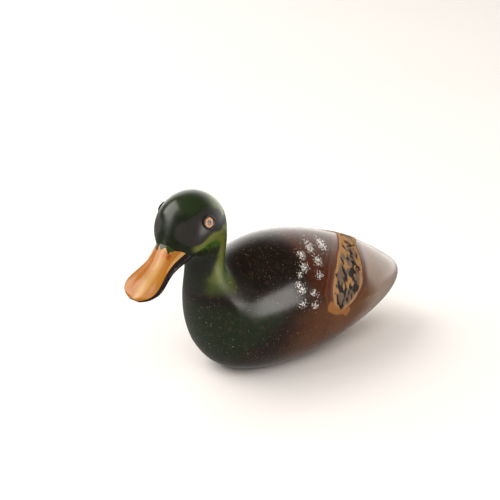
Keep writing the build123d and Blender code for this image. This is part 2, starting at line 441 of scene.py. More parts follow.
def add_blend(
    tree: bpy.types.NodeTree,
    share: bpy.types.NodeSocket,
    under: bpy.types.NodeSocket | str,
    over: bpy.types.NodeSocket | str,
) -> bpy.types.NodeSocket:
    """Blends two colours, each of them a socket or an sRGB hex colour.

    Args:
        tree: the node tree.
        share: how much of the second colour shows.
        under: the first colour.
        over: the second colour.

    Returns:
        The blended colour.
    """
    settings, links = {"data_type": "RGBA"}, {0: share}
    for number, colour in ((6, under), (7, over)):
        if isinstance(colour, str):
            settings[number] = linear(colour)
        else:
            links[number] = colour
    return add_node(tree, "ShaderNodeMix", settings, links).outputs[2]


def add_range(
    tree: bpy.types.NodeTree,
    value: bpy.types.NodeSocket,
    source: tuple[float, float],
    target: tuple[float, float] = (0.0, 1.0),
    eased: bool = False,
) -> bpy.types.NodeSocket:
    """Carries a value from one range to another.

    Args:
        tree: the node tree.
        value: what is carried.
        source: the two ends of the first range.
        target: what those ends become.
        eased: whether both ends are level.

    Returns:
        The new value.
    """
    settings = {"interpolation_type": "SMOOTHSTEP" if eased else "LINEAR"}
    settings |= {"From Min": source[0], "From Max": source[1]}
    settings |= {"To Min": target[0], "To Max": target[1]}
    return add_node(tree, "ShaderNodeMapRange", settings, {"Value": value}).outputs[0]


@dataclass(frozen=True)
class Finish:
    """What every finish has: a name, and a Principled shader that its own nodes feed."""

    name: str

    def start(self) -> tuple[bpy.types.Material, bpy.types.NodeTree, bpy.types.NodeSocket]:
        """Makes an empty material.

        Returns:
            The material, its node tree and its Object coordinates.
        """
        material = bpy.data.materials.new(self.name)
        material.use_nodes = True
        tree = material.node_tree
        tree.nodes.clear()
        coordinates = add_node(tree, "ShaderNodeTexCoord").outputs["Object"]
        return material, tree, coordinates

    def end(
        self,
        tree: bpy.types.NodeTree,
        settings: Setting,
        links: dict[str | int, bpy.types.NodeSocket],
    ) -> None:
        """Adds the Principled shader and the output.

        Args:
            tree: the material's node tree.
            settings: the shader's own values.
            links: what feeds the shader.
        """
        shader = add_node(tree, "ShaderNodeBsdfPrincipled", settings, links)
        add_node(tree, "ShaderNodeOutputMaterial", {}, {"Surface": shader.outputs["BSDF"]})


@dataclass(frozen=True)
class Layer:
    """One brushed or rubbed layer of colour, laid where a mask of the mesh says.

    Args:
        mask: the mesh attribute that places it.
        colour: its colour.
        ragged: how far noise breaks its edge, as a share of the mask.
        size: the size of that noise in mm.
        soft: half the width of its edge, as a share of the mask.
        strength: how much of what lies under it it hides.
    """

    mask: str
    colour: str
    ragged: float = 0.35
    size: float = 4.0
    soft: float = 0.45
    strength: float = 1.0


@dataclass(frozen=True)
class PaintedWood(Finish):
    """Oil paint rubbed over carved hardwood under a hand-brushed gloss varnish.

    The eye sees deep, slightly mottled colour with soft edges, a clear gloss that a fine
    grain breaks up, and dust nibs caught in the varnish. Bark left bare stays matt.
    """

    ground: str = "#1c2417"
    shade: str = "#12160f"
    layers: tuple[Layer, ...] = ()
    gloss: float = 0.2
    matt: float = 0.85
    nib_size: float = 1.6
    grain_size: float = 1.1
    grain_depth: float = 0.035

    def material(self) -> bpy.types.Material:
        """The finished material: ground, then each layer, then nibs, gloss and grain."""
        material, tree, at = self.start()
        cloud = add_noise(tree, at, 14.0).outputs["Fac"]
        colour = add_blend(tree, cloud, self.ground, self.shade)
        for layer in self.layers:
            mask = add_node(tree, "ShaderNodeAttribute", {"attribute_name": layer.mask})
            noise = add_noise(tree, at, layer.size, 5.0, 0.65)
            broken = add_node(
                tree,
                "ShaderNodeMath",
                {"operation": "MULTIPLY_ADD", 1: layer.ragged * 2.0},
                {0: noise.outputs["Fac"], 2: mask.outputs["Fac"]},
            )
            middle = 0.5 + layer.ragged
            source = (middle - layer.soft, middle + layer.soft)
            edge = add_range(tree, broken.outputs[0], source, (0.0, layer.strength), True)
            colour = add_blend(tree, edge, colour, layer.colour)
        grain = add_noise(tree, at, self.grain_size, 3.0)
        uneven = add_node(
            tree,
            "ShaderNodeMix",
            {"data_type": "RGBA", "blend_type": "SOFT_LIGHT", 0: 0.35},
            {6: colour, 7: grain.outputs["Color"]},
        )
        nibs = add_node(
            tree,
            "ShaderNodeTexVoronoi",
            {"Scale": per_size(self.nib_size * 4.0), "Randomness": 1.0},
            {"Vector": at},
        )
        nib = add_range(tree, nibs.outputs["Distance"], (0.075, 0.04), (0.0, 0.2))
        dusty = add_blend(tree, nib, uneven.outputs[2], "#8f8a76")
        bark = add_node(tree, "ShaderNodeAttribute", {"attribute_name": "matt"})
        smear = add_range(tree, cloud, (0.3, 0.7), (self.gloss * 0.8, self.gloss * 1.3))
        roughness = add_node(
            tree,
            "ShaderNodeMix",
            {"data_type": "FLOAT", 3: self.matt},
            {0: bark.outputs["Fac"], 2: smear},
        )
        relief = add_node(
            tree,
            "ShaderNodeBump",
            {"Strength": 1.0, "Distance": self.grain_depth * METRES},
            {"Height": grain.outputs["Fac"]},
        )
        self.end(
            tree,
            {"IOR": 1.4},
            {"Base Color": dusty, "Roughness": roughness.outputs[0], "Normal": relief.outputs[0]},
        )
        return material


@dataclass(frozen=True)
class RawWood(Finish):
    """Planed timber, bare or lightly oiled: pale and dark growth lines along Y."""

    pale: str = "#b98f5e"
    dark: str = "#8a6238"
    line_size: float = 2.4
    gloss: float = 0.55

    def material(self) -> bpy.types.Material:
        """The finished material."""
        material, tree, at = self.start()
        drawn = add_node(tree, "ShaderNodeMapping", {"Scale": (1.0, 0.12, 1.0)}, {"Vector": at})
        lines = add_node(
            tree,
            "ShaderNodeTexNoise",
            {"Scale": per_size(self.line_size), "Detail": 6.0, "Roughness": 0.6, "Distortion": 0.6},
            {"Vector": drawn.outputs[0]},
        )
        colour = add_blend(tree, lines.outputs["Fac"], self.dark, self.pale)
        relief = add_node(
            tree,
            "ShaderNodeBump",
            {"Strength": 0.6, "Distance": 0.05 * METRES},
            {"Height": lines.outputs["Fac"]},
        )
        self.end(
            tree,
            {"Roughness": self.gloss, "IOR": 1.45},
            {"Base Color": colour, "Normal": relief.outputs[0]},
        )
        return material


@dataclass(frozen=True)
class Metal(Finish):
    """Drawn, turned or cast metal: a dulled face with darker tarnish in patches."""

    bright: str = "#c9a24c"
    tarnish: str = "#6f5526"
    patch_size: float = 3.0
    gloss: float = 0.32

    def material(self) -> bpy.types.Material:
        """The finished material."""
        material, tree, at = self.start()
        patches = add_noise(tree, at, self.patch_size, 6.0, 0.65).outputs["Fac"]
        colour = add_blend(tree, patches, self.tarnish, self.bright)
        roughness = add_range(tree, patches, (0.0, 1.0), (self.gloss + 0.2, self.gloss))
        self.end(tree, {"Metallic": 1.0}, {"Base Color": colour, "Roughness": roughness})
        return material


@dataclass(frozen=True)
class Enamel(Finish):
    """Hard gloss enamel on a small disc, laid by brush: a body colour with fine streaks."""

    pale: str = "#c08a50"
    deep: str = "#8a5a2c"
    streak_size: float = 0.7
    gloss: float = 0.25

    def material(self) -> bpy.types.Material:
        """The finished material."""
        material, tree, at = self.start()
        streaks = add_noise(tree, at, self.streak_size, 4.0).outputs["Fac"]
        colour = add_blend(tree, streaks, self.deep, self.pale)
        self.end(tree, {"Roughness": self.gloss, "IOR": 1.5}, {"Base Color": colour})
        return material


@dataclass(frozen=True)
class ClearGlass(Finish):
    """Pressed clear soda glass, thin enough to show what lies behind it unbent."""

    tint: str = "#fdfbf4"
    cover: float = 0.15

    def material(self) -> bpy.types.Material:
        """The finished material, with faint smears in its polish."""
        material, tree, at = self.start()
        smears = add_noise(tree, at, 2.0, 3.0, 0.5).outputs["Fac"]
        roughness = add_range(tree, smears, (0.0, 1.0), (0.02, 0.07))
        settings = {"Base Color": linear(self.tint), "IOR": 1.5, "Alpha": self.cover}
        self.end(tree, settings | {"Transmission Weight": 1.0}, {"Roughness": roughness})
        return material


# ---- the carved duck --------------------------------------------------------------------


@dataclass
class Carving:
    """The run of cross-sections that the body, the neck and the head are cut from.

    Each station is the back point (y, z), the keel or throat point (y, z) and the half width.
    """

    body: list[tuple] = field(
        default_factory=lambda: [
            ((149, 55), (151, 50), 3),
            ((146, 60), (150, 44), 15),
            ((131, 70), (132, 30), 30),
            ((103, 86), (101, 15), 42),
            ((63, 102), (61, 1), 49),
            ((23, 112), (23, -5), 53),
            ((-12, 113), (-12, -5), 53),
            ((-36, 106), (-47, 2), 47),
            ((-48, 101), (-70, 20), 39),
            ((-54, 100), (-80, 50), 31),
            ((-56, 103), (-84, 80), 23),
        ]
    )
    head: list[tuple] = field(
        default_factory=lambda: [
            ((-54, 111), (-85, 103), 19),
            ((-52, 124), (-89, 114), 20),
            ((-53, 138), (-95, 118), 23),
            ((-60, 157), (-101, 119), 27),
            ((-79, 169), (-105, 117), 28),
            ((-99, 165), (-108, 117), 24),
            ((-109, 151), (-111, 117), 16),
            ((-114, 137), (-114, 119), 11),
        ]
    )
    egg: float = 0.05
    turn: float = 7.0
    turn_centre: float = -67.0

    def seat(self) -> int:
        """The number of the station where the head leaves the body."""
        return len(self.body) - 1

    def turned(self, points: np.ndarray, share: np.ndarray) -> np.ndarray:
        """Turns points about the neck's upright axis.

        Args:
            points: places in mm.
            share: how much of the head's turn each takes.

        Returns:
            The turned places.
        """
        angle = np.radians(self.turn) * share
        ahead = points[..., 1] - self.turn_centre
        across = points[..., 0] * np.cos(angle) - ahead * np.sin(angle)
        along = points[..., 0] * np.sin(angle) + ahead * np.cos(angle) + self.turn_centre
        return np.stack([across, along, points[..., 2]], axis=-1)

    def rings(self, places: np.ndarray, angles: np.ndarray) -> tuple[np.ndarray, np.ndarray]:
        """The carved skin: an egg-shaped ring between the back line and the keel line.

        Across is half width * cos(angle) * (1 - egg * sin(angle)), and the share of the way
        from keel to back is (1 + sin(angle)) / 2.

        Args:
            places: where along the stations each ring is.
            angles: where round the ring each point is, in radians from the left side.

        Returns:
            The skin's points as carved, and the same before the head was turned, in mm.
        """
        rows = [(*back, *keel, wide) for back, keel, wide in self.body + self.head]
        line = smooth_rows(np.array(rows, float), places)
        rise = np.sin(angles)[None, :]
        across = line[:, 4:5] * np.cos(angles)[None, :] * (1.0 - self.egg * rise)
        share = (1.0 + rise) / 2.0
        along = line[:, 2:3] + (line[:, 0:1] - line[:, 2:3]) * share
        height = line[:, 3:4] + (line[:, 1:2] - line[:, 3:4]) * share
        straight = np.stack([across, along, height], axis=-1)
        neck = smooth_step(self.seat(), self.seat() + 3, places)[:, None]
        return self.turned(straight, neck), straight


@dataclass
class BarkBand:
    """The saddle of natural bark left across the back.

    Its place is given by the angle round the body: 0 at the side and 90 on the back line.
    """

    lowest: float = -5.0
    side_y: float = 45.0
    sweep: float = 50.0
    sweep_power: float = 1.4
    wide: float = 20.0
    narrow: float = 11.0
    widest: float = 18.0

    def middle(self, angle: np.ndarray) -> np.ndarray:
        """Where the band's middle is along Y, sweeping back as it climbs."""
        climb = np.clip((angle - self.lowest) / (90.0 - self.lowest), 0.0, 1.0)
        return self.side_y + self.sweep * climb**self.sweep_power

    def half(self, angle: np.ndarray) -> np.ndarray:
        """Half the band's width: a round lower end, then a slow narrowing to the back.

        Args:
            angle: degrees round from the side, with 90 on the back line.

        Returns:
            The half width in mm.
        """
        below = np.clip((self.widest - angle) / (self.widest - self.lowest), 0.0, 1.0)
        tip = np.sqrt(np.clip(1.0 - below**2, 0.0, 1.0))
        waist = smooth_step(self.widest, 62.0, angle)
        outside = np.clip(self.lowest - angle, 0.0, None) * 0.9
        return (self.wide + (self.narrow - self.wide) * waist) * tip - outside

    def inside(self, points: np.ndarray, angle: np.ndarray) -> np.ndarray:
        """How far each point is inside the band's edge, in mm, less than nought outside."""
        wander = 3.0 * (rough_noise(points, 7.0, 3) - 0.5)
        return self.half(angle) - np.abs(points[..., 1] - self.middle(angle)) + wander


@dataclass
class DuckBody:
    """The body block, with its bark saddle, its underside pocket and the ring's recess."""

    carving: Carving
    band: BarkBand = field(default_factory=BarkBand)
    rows: int = 300
    columns: int = 320
    fine_from: float = 26.0
    fine_to: float = 112.0
    fine_share: float = 2.2
    pocket_gap: float = 0.15
    pocket_depth: float = 9.2
    recess_width: float = 19.0
    recess_depth: float = 5.4
    recess_corner: float = 6.0
    recess_front: float = -44.0
    recess_rear: float = -21.0

    def places(self) -> np.ndarray:
        """Places of the rings along the stations, closer together under the bark."""
        even = np.linspace(0.0, self.carving.seat(), 600)
        rings, _ = self.carving.rings(even, np.array([0.0, np.pi / 2]))
        step = np.linalg.norm(np.diff(rings.mean(axis=1), axis=0), axis=-1)
        y = rings.mean(axis=1)[1:, 1]
        fine = smooth_step(self.fine_from - 8, self.fine_from, y)
        fine *= 1.0 - smooth_step(self.fine_to, self.fine_to + 8, y)
        length = np.concatenate([[0.0], np.cumsum(step * (1.0 + (self.fine_share - 1.0) * fine))])
        return np.interp(np.linspace(0.0, length[-1], self.rows), length, even)

    def masks(self, points: np.ndarray, angle: np.ndarray) -> dict[str, np.ndarray]:
        """Where each colour lies on the body.

        Args:
            points: the skin before its relief, in mm.
            angle: degrees round from each side, with 90 on the back line.

        Returns:
            One mask per colour, from 0 to 1.
        """
        y, z = points[..., 1], points[..., 2]
        inside = self.band.inside(points, angle)
        behind = y - self.band.middle(angle) - self.band.half(angle)
        low = smooth_step(70.0, 35.0, z)
        tail_start = 5.0 + 36.0 * low
        ripple = 0.5 + 0.5 * np.cos(2.0 * np.pi * inside / 6.5 + 2.5 * rough_noise(points, 12.0, 9))
        side = points[..., 1:]
        to_bare = distance_to_path(side, [(28, 54), (39, 48), (48, 44)])
        to_bare = to_bare + 6.0 * (rough_noise(points, 8.0, 41) - 0.5)
        spot = np.hypot(y - 41.0, z - 48.5)
        crust = rough_noise(points * np.array([1.2, 1.5, 0.9]), 4.5, 21, 3)
        blobs = rough_noise(points, 11.0, 31, 2)
        deep = smooth_step(1.0, 7.0, inside)
        heart = np.exp(-(((y - 50.0) / 12.0) ** 2) - ((z - 66.0) / 10.0) ** 2)
        split = crust + 0.12 * heart + 0.02 * deep
        flecks = [
            (10, 100, 5),
            (24, 103, 6),
            (40, 101, 7),
            (6, 92, 6),
            (25, 93, 6),
            (-1, 88, 4),
            (20, 83, 5),
            (-6, 81, 4),
            (-4, 76, 6),
            (8, 71, 4),
            (12, 69, 3),
            (-5, 65, 5),
            (8, 60, 5),
        ]
        fleck = np.zeros_like(y)
        for along, height, radius in flecks:
            near = np.hypot(y - along, (z - height) * 1.3) / radius
            fleck = np.maximum(fleck, np.exp(-(near**2)))
        front = y + np.clip(55.0 - z, 0.0, None)
        return {
            "green": smooth_step(0.0, -52.0, front),
            # Olive collar at the neck's seat: partly its own olive paint, partly a painted sheen laid bright
            # where a reflection shows; the varnish there is made rougher (matt) instead.
            "collar_and_sheen": smooth_step(76.0, 92.0, z) * smooth_step(-52.0, -62.0, y),
            "soot": smooth_step(58.0, 84.0, z) * smooth_step(16.0, -12.0, y),
            "russet": smooth_step(-14.0, 26.0, y) * smooth_step(52.0, 70.0, z),
            "umber": smooth_step(-48.0, 34.0, y + 0.3 * (40.0 - z)) * smooth_step(70.0, 52.0, z),
            "amber": smooth_step(18.0, 44.0, y) * smooth_step(10.0, 34.0, z),
            "tail": smooth_step(tail_start - 6.0 - 20.0 * low, tail_start + 8.0 + 30.0 * low, behind),
            "rings": ripple * smooth_step(-22.0, -3.0, inside) * smooth_step(10.0, -2.0, behind - 3.0),
            "halo": smooth_step(-7.5, -4.5, inside) * smooth_step(2.0, -1.0, inside),
            "bare": smooth_step(5.2, 3.0, to_bare),
            "bark": smooth_step(-0.8, 0.8, inside),
            "crust": deep * smooth_step(0.42, 0.52, 0.4 * crust + 0.6 * blobs + 0.1 * heart),
            "crack": smooth_step(-0.5, 3.0, inside) * smooth_step(0.55, 0.64, split),
            "knot": smooth_step(2.2, 1.2, spot),
            "fleck": 0.57 * fleck,
            "matt": np.maximum(
                0.9 * smooth_step(-3.0, 0.5, inside),
                0.4 * smooth_step(-40.0, -56.0, y) * smooth_step(72.0, 86.0, z),
            ),
        }

    def relief(self, points: np.ndarray, masks: dict[str, np.ndarray]) -> np.ndarray:
        """How far each point stands proud of the carved line, in mm.

        The whole skin wavers a little, the bark stands up and its cracks are cut down.

        Args:
            points: the skin in mm.
            masks: the colour masks.

        Returns:
            One height per point.
        """
        waver = 0.6 * (rough_noise(points, 26.0, 5, 2) - 0.5)
        coarse = 0.9 * masks["bark"] * (rough_noise(points, 3.0, 7) - 0.5)
        bark = 0.7 * masks["bark"] - 1.5 * masks["crack"] + coarse
        return waver + bark - 1.2 * masks["knot"]

    def outline(self, half_width: float, low: float, high: float, radius: float) -> np.ndarray:
        """A rectangle with round corners, as points in X and Y.

        Args:
            half_width: how far it reaches to each side.
            low: where it starts along Y.
            high: where it ends along Y.
            radius: the radius of its corners.

        Returns:
            The points, shaped (points, 2), in mm.
        """
        turn = np.linspace(0.0, 2.0 * np.pi, 97)[:-1]
        corner_x = np.where(np.cos(turn) >= 0.0, half_width - radius, radius - half_width)
        corner_y = np.where(np.sin(turn) >= 0.0, high - radius, low + radius)
        return np.stack([corner_x + radius * np.cos(turn), corner_y + radius * np.sin(turn)], axis=-1)

    def build(self, finish: PaintedWood) -> None:
        """Builds the body.

        Args:
            finish: its paint.
        """
        turn = np.linspace(-np.pi / 2, 1.5 * np.pi, self.columns, endpoint=False)
        points, _ = self.carving.rings(self.places(), turn)
        angle = np.degrees(np.arcsin(np.sin(turn)))[None, :] * np.ones((len(points), 1))
        masks = self.masks(points, angle)
        points = raise_skin(points, self.relief(points, masks))
        points[..., 2] = np.maximum(points[..., 2], 0.0)
        piece = grid_object("painted_body", points, masks)
        low, high = (np.array(corner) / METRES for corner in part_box("bottom_plate"))
        gap = self.pocket_gap
        half = high[0] + gap
        pocket = self.outline(half, low[1] - gap, high[1] + gap, half - 0.01)
        recess_half = self.recess_width / 2
        recess = self.outline(recess_half, self.recess_front, self.recess_rear, self.recess_corner)
        cutters = [
            prism_object("pocket_cutter", pocket, -3.0, self.pocket_depth),
            prism_object("recess_cutter", recess, -3.0, self.recess_depth),
        ]
        carve_away(piece, cutters)
        place(piece, finish.material(), "painted_body_wood", ("body_shell",))


@dataclass
class DuckHead:
    """The neck and head block, from the seat on the body to the root of the bill."""

    carving: Carving
    rows: int = 220
    columns: int = 320
    face: tuple = ((-116.5, 130), (-114, 120), 6)
    jaw_line: list[tuple[float, float]] = field(
        default_factory=lambda: [
            (-100, 131),
            (-94, 135.5),
            (-86, 138),
            (-78, 136.5),
            (-71, 131),
            (-68, 122),
            (-67.5, 112),
            (-70, 103),
            (-73, 95),
        ]
    )

    def masks(self, straight: np.ndarray) -> dict[str, np.ndarray]:
        """Where each colour lies on the head and neck.

        Args:
            straight: the skin before the head was turned, in mm.

        Returns:
            One mask per colour, from 0 to 1.
        """
        x, y, z = np.abs(straight[..., 0]), straight[..., 1], straight[..., 2]
        side = straight[..., 1:]
        to_jaw = distance_to_path(side, self.jaw_line)
        flank = smooth_step(4.0, 12.0, x)
        # The grey teardrop round the eye is partly its own charcoal paint and partly a painted sheen: it is
        # laid lighter grey where a soft reflection shows, and its varnish is made a little rougher.
        to_eye = distance_to_path(side, [(-104, 141), (-97, 147), (-88, 151), (-80, 149)])
        teardrop = 9.5 - 2.5 * smooth_step(-84.0, -74.0, y)
        rear_tip = distance_to_path(side, [(-84, 149), (-71, 146.5)])
        patch = np.maximum(smooth_step(teardrop.max() + 1.5, 7.0, to_eye), smooth_step(5.0, 2.5, rear_tip))
        vivid_low = distance_to_path(side, [(-97, 130), (-88, 131.5), (-79, 130)])
        vivid_neck = distance_to_path(side, [(-64, 128), (-63, 112), (-65, 96)])
        nape = distance_to_path(side, [(-70, 158), (-68, 148), (-70, 138)])
        return {
            "jaw": smooth_step(8.5, 0.5, to_jaw) * flank,
            "vivid": np.maximum(smooth_step(9.0, 2.0, vivid_low) * flank, smooth_step(9.0, 2.0, vivid_neck)),
            "nape": smooth_step(14.0, 4.0, nape),
            "mask": patch * flank,
            "throat": smooth_step(-70.0, -80.0, y) * smooth_step(128.0, 120.0, z),
            # Olive collar low on the neck: partly its own olive paint, partly a painted sheen; the varnish
            # below z 118 is made rougher.
            "collar_and_sheen": smooth_step(104.0, 92.0, z) * smooth_step(-84.0, -76.0, y),
            "crown": smooth_step(150.0, 164.0, z),
            "matt": np.maximum(0.4 * smooth_step(118.0, 104.0, z), 0.25 * patch * flank),
        }

    def build(self, finish: PaintedWood) -> None:
        """Builds the neck and head.

        Args:
            finish: its paint.
        """
        carving = Carving(body=self.carving.body, head=self.carving.head + [self.face])
        start = carving.seat()
        end = len(carving.body) + len(carving.head) - 1
        turn = np.linspace(-np.pi / 2, 1.5 * np.pi, self.columns, endpoint=False)
        points, straight = carving.rings(np.linspace(start, end, self.rows), turn)
        masks = self.masks(straight)
        fade = smooth_step(0.0, 8.0, np.arange(self.rows))[:, None]
        waver = 0.45 * (rough_noise(points, 22.0, 5, 2) - 0.5) * fade
        piece = grid_object("painted_head", raise_skin(points, waver), masks)
        place(piece, finish.material(), "painted_head_wood", ("head",))


@dataclass
class DuckBill:
    """The bill: a low crown with a ridge, steep dark sides and a thin lower lip.

    Each station is the distance along the bill, the half width, and the heights of the crown,
    the side edge and the underside above its axis.
    """

    carving: Carving
    root: tuple[float, float, float] = (0.0, -111.0, 122.0)
    slope: float = 35.0
    stations: list[tuple] = field(
        default_factory=lambda: [
            (-20, 20, 12, 1, -10),
            (-8, 18, 12, 1.5, -9.5),
            (4, 15, 8.5, 2, -8.5),
            (14, 14, 4.8, 1.8, -7.5),
            (24, 16, 3.7, 1.9, -7),
            (33, 18, 3.4, 1.8, -6),
            (40, 17, 2.5, 1.2, -4.5),
            (45, 12.5, 2, 0.6, -3.5),
            (48, 6, 1, -0.5, -3),
        ]
    )
    rows: int = 170
    columns: int = 240
    squareness: float = 0.36
    groove_depth: float = 0.9
    groove_height: float = -3.3
    groove_width: float = 0.7
    nostril: tuple[float, float] = (3.0, 6.5)
    nostril_radius: float = 1.0
    nostril_depth: float = 1.6

    def placed(self, local: np.ndarray) -> np.ndarray:
        """Puts the bill's points on the duck.

        Args:
            local: places across, up and along the bill, in mm.

        Returns:
            The same places in the duck's coordinates.
        """
        slope = math.radians(self.slope)
        tipward = np.array([0.0, -math.cos(slope), -math.sin(slope)])
        upward = np.array([0.0, -math.sin(slope), math.cos(slope)])
        across = local[..., 0:1] * np.array([1.0, 0.0, 0.0])
        straight = np.array(self.root) + across + local[..., 1:2] * upward + local[..., 2:3] * tipward
        return self.carving.turned(straight, np.ones(straight.shape[:-1]))

    def build(self, finish: PaintedWood) -> None:
        """Builds the bill: the crown is a parabola, and the sides and underside a squared oval.

        Args:
            finish: its stain and paint.
        """
        places = np.linspace(0.0, len(self.stations) - 1, self.rows)
        line = smooth_rows(np.array(self.stations, float), places)
        turn = np.linspace(0.0, 2.0 * np.pi, 4 * self.columns + 1)
        cosine, sine = np.cos(turn)[None, :], np.sin(turn)[None, :]
        along, wide, crown, edge, under = (line[:, i : i + 1] for i in range(5))
        square = self.squareness
        share = np.where(sine >= 0.0, cosine, np.sign(cosine) * np.abs(cosine) ** square)
        top = edge + (crown - edge) * (1.0 - np.abs(cosine) ** 2.2)
        bottom = edge + (under - edge) * np.abs(sine) ** square
        outline = np.stack([wide * share, np.where(sine >= 0.0, top, bottom)], axis=-1)
        outline, over = evenly(outline, self.columns, 2 * self.columns)
        across, height = outline[..., 0], outline[..., 1]
        share = across / wide
        side = smooth_step(0.8, 0.95, np.abs(share)) * ~over
        groove = np.exp(-(((height - self.groove_height) / self.groove_width) ** 2)) * side
        across = across - np.sign(share) * self.groove_depth * groove
        valley = np.exp(-(((np.abs(share) - 0.55) / 0.2) ** 2)) * over
        height = height - 0.5 * valley * smooth_step(0.0, 14.0, along) * smooth_step(44.0, 34.0, along)
        nose_along, nose_side = self.nostril
        pit = np.hypot(along - nose_along, np.abs(across) - nose_side) / self.nostril_radius
        pit = np.exp(-(pit**2)) * over
        height = height - self.nostril_depth * pit
        local = np.stack([across, height, along * np.ones_like(across)], axis=-1)
        masks = self.masks(local, wide, over, pit)
        piece = grid_object("stained_bill", self.placed(local), masks, 28.0)
        place(piece, finish.material(), "stained_bill_wood", ("bill",))

    def masks(
        self, local: np.ndarray, wide: np.ndarray, over: np.ndarray, pit: np.ndarray
    ) -> dict[str, np.ndarray]:
        """Where each colour lies on the bill.

        Args:
            local: the bill's points across, up and along its axis, in mm.
            wide: the half width of each ring.
            over: whether a point is on the crown.
            pit: the nostrils, from 0 to 1.

        Returns:
            One mask per colour, from 0 to 1.
        """
        across, height, along = (local[..., i] for i in range(3))
        share = across / wide
        scallop = 2.0 + 1.3 * np.cos(across * 0.85 + 0.6) - 26.0 * smooth_step(0.62, 1.0, np.abs(share))
        low = height < -0.5
        depth = height / height.min(axis=1, keepdims=True)
        return {
            "feather": smooth_step(0.6, -0.6, along - scallop) * over * smooth_step(0.98, 0.8, np.abs(share)),
            "ridge": np.exp(-(((share - 0.25) / 0.27) ** 2)) * over,
            "rim": smooth_step(0.8, 0.97, np.abs(share)) * over * smooth_step(26.0, 8.0, along),
            "valley": np.exp(-(((share + 0.45) / 0.3) ** 2)) * over,
            "blush": np.exp(-(((across - 4.5) / 3.0) ** 2) - ((along - 6.0) / 3.0) ** 2) * over,
            "burn": np.exp(-(((across - 8.5) / 2.2) ** 2) - ((along - 5.5) / 3.0) ** 2) * over,
            "band": ~over * smooth_step(0.6, 0.85, np.abs(share)) * smooth_step(0.9, 0.8, depth),
            "lip": (~over & low) * smooth_step(0.8, 0.9, depth),
            "pit": pit,
            "matt": np.zeros_like(across),
        }


@dataclass
class DuckEye:
    """One eye: a ring of putty, an enamelled iris and pupil, and a clear glass button."""

    carving: Carving
    side: Side
    point: tuple[float, float, float] = (27.1, -91.0, 150.0)
    forward: float = 8.0
    upward: float = 13.0
    radius: float = 4.2
    dome: float = 0.8
    pupil: float = 2.3
    putty: float = 6.0
    proud: float = 0.6
    columns: int = 96

    def placed(self, local: np.ndarray) -> np.ndarray:
        """Puts the eye's points on the duck.

        Args:
            local: places forward, up and outward from the eye's middle, in mm.

        Returns:
            The same places in the duck's coordinates.
        """
        ahead, rise = math.radians(self.forward), math.radians(self.upward)
        sign = self.side.value
        level = np.array([sign * math.cos(ahead), -math.sin(ahead), 0.0])
        outward = level * math.cos(rise) + np.array([0.0, 0.0, math.sin(rise)])
        onward = -np.array([sign * math.sin(ahead), math.cos(ahead), 0.0])
        upward = np.array([0.0, 0.0, math.cos(rise)]) - level * math.sin(rise)
        x, y, z = self.point
        straight = np.array([sign * x, y, z]) + local[..., 0:1] * onward
        straight = straight + local[..., 1:2] * upward + local[..., 2:3] * outward
        return self.carving.turned(straight, np.ones(straight.shape[:-1]))

    def turned_profile(self, profile: np.ndarray, count: int, lumps: float = 0.0) -> np.ndarray:
        """Carries a profile round the eye's axis.

        Args:
            profile: pairs of radius and height in mm.
            count: how many points go round.
            lumps: how far thumbed unevenness moves a point, in mm.

        Returns:
            The rings in the duck's coordinates.
        """
        turn = np.linspace(0.0, 2.0 * np.pi, count, endpoint=False)[None, :]
        radius, height = profile[:, 0:1], profile[:, 1:2]
        local = np.stack([radius * np.cos(turn), radius * np.sin(turn), height * np.ones_like(turn)], axis=-1)
        if lumps:
            swell = rough_noise(local + 40.0 * self.side.value, 3.5, 11) - 0.5
            local = local + lumps * swell[..., None] * np.array([0.6, 0.6, 1.0])
        return self.placed(local)

    def add_part(
        self,
        part: str,
        node: str,
        slot: str,
        profile: np.ndarray,
        finish: Finish,
        lumps: float = 0.0,
    ) -> None:
        """Adds one turned piece.

        Args:
            part: the piece's name, after the side's.
            node: the CAD node that it stands for, after the side's name.
            slot: the record's material slot.
            profile: pairs of radius and height in mm.
            finish: what it is finished with.
            lumps: how far thumbed unevenness moves a point, in mm.
        """
        name = f"{self.side.name.lower()}_eye_"
        piece = grid_object(name + part, self.turned_profile(profile, self.columns, lumps), None, 60.0)
        place(piece, finish.material(), slot, (name + node,))

    def build(self, putty: Finish, iris: Finish, pupil: Finish, glass: Finish) -> None:
        """Builds the eye's four pieces.

        Args:
            putty: the finish of the bedding ring.
            iris: the finish of the coloured ring.
            pupil: the finish of the middle.
            glass: the finish of the button.
        """
        bead = np.linspace(-0.35 * np.pi, 1.1 * np.pi, 26)
        middle, thick = (self.radius + self.putty) / 2, (self.putty - self.radius) / 2
        ring = [middle + 1.1 * thick * np.cos(bead), self.proud * 1.1 * np.sin(bead)]
        ring = np.stack(ring, axis=-1)
        ring = np.concatenate([[[self.putty, -1.5]], ring, [[self.radius - 0.2, -1.5]]])
        self.add_part("bedding", "putty", "eye_putty", ring, putty, 0.7)
        out = np.linspace(self.radius, self.pupil * 0.94, 10)
        cup = np.stack([out, -0.25 - 0.3 * (out / self.radius - 0.5) ** 2], axis=-1)
        cup = np.concatenate([[[self.radius, -1.6]], cup, [[self.pupil * 0.94, -1.6]]])
        self.add_part("ring", "iris", "iris_enamel", cup, iris)
        out = np.linspace(self.pupil, 0.05, 10)
        disc = np.stack([out, -0.2 - 0.2 * (out / self.pupil) ** 2], axis=-1)
        disc = np.concatenate([[[0.05, -1.6], [self.pupil, -1.6]], disc])
        self.add_part("dot", "pupil", "pupil_enamel", disc, pupil)
        out = np.linspace(self.radius - 0.05, 0.05, 16)
        lens = np.stack([out, self.dome * (1.0 - (out / self.radius) ** 2)], axis=-1)
        lens = np.concatenate([[[0.05, -0.1], [self.radius - 0.05, -0.1]], lens])
        self.add_part("button", "glass", "eye_glass", lens, glass)


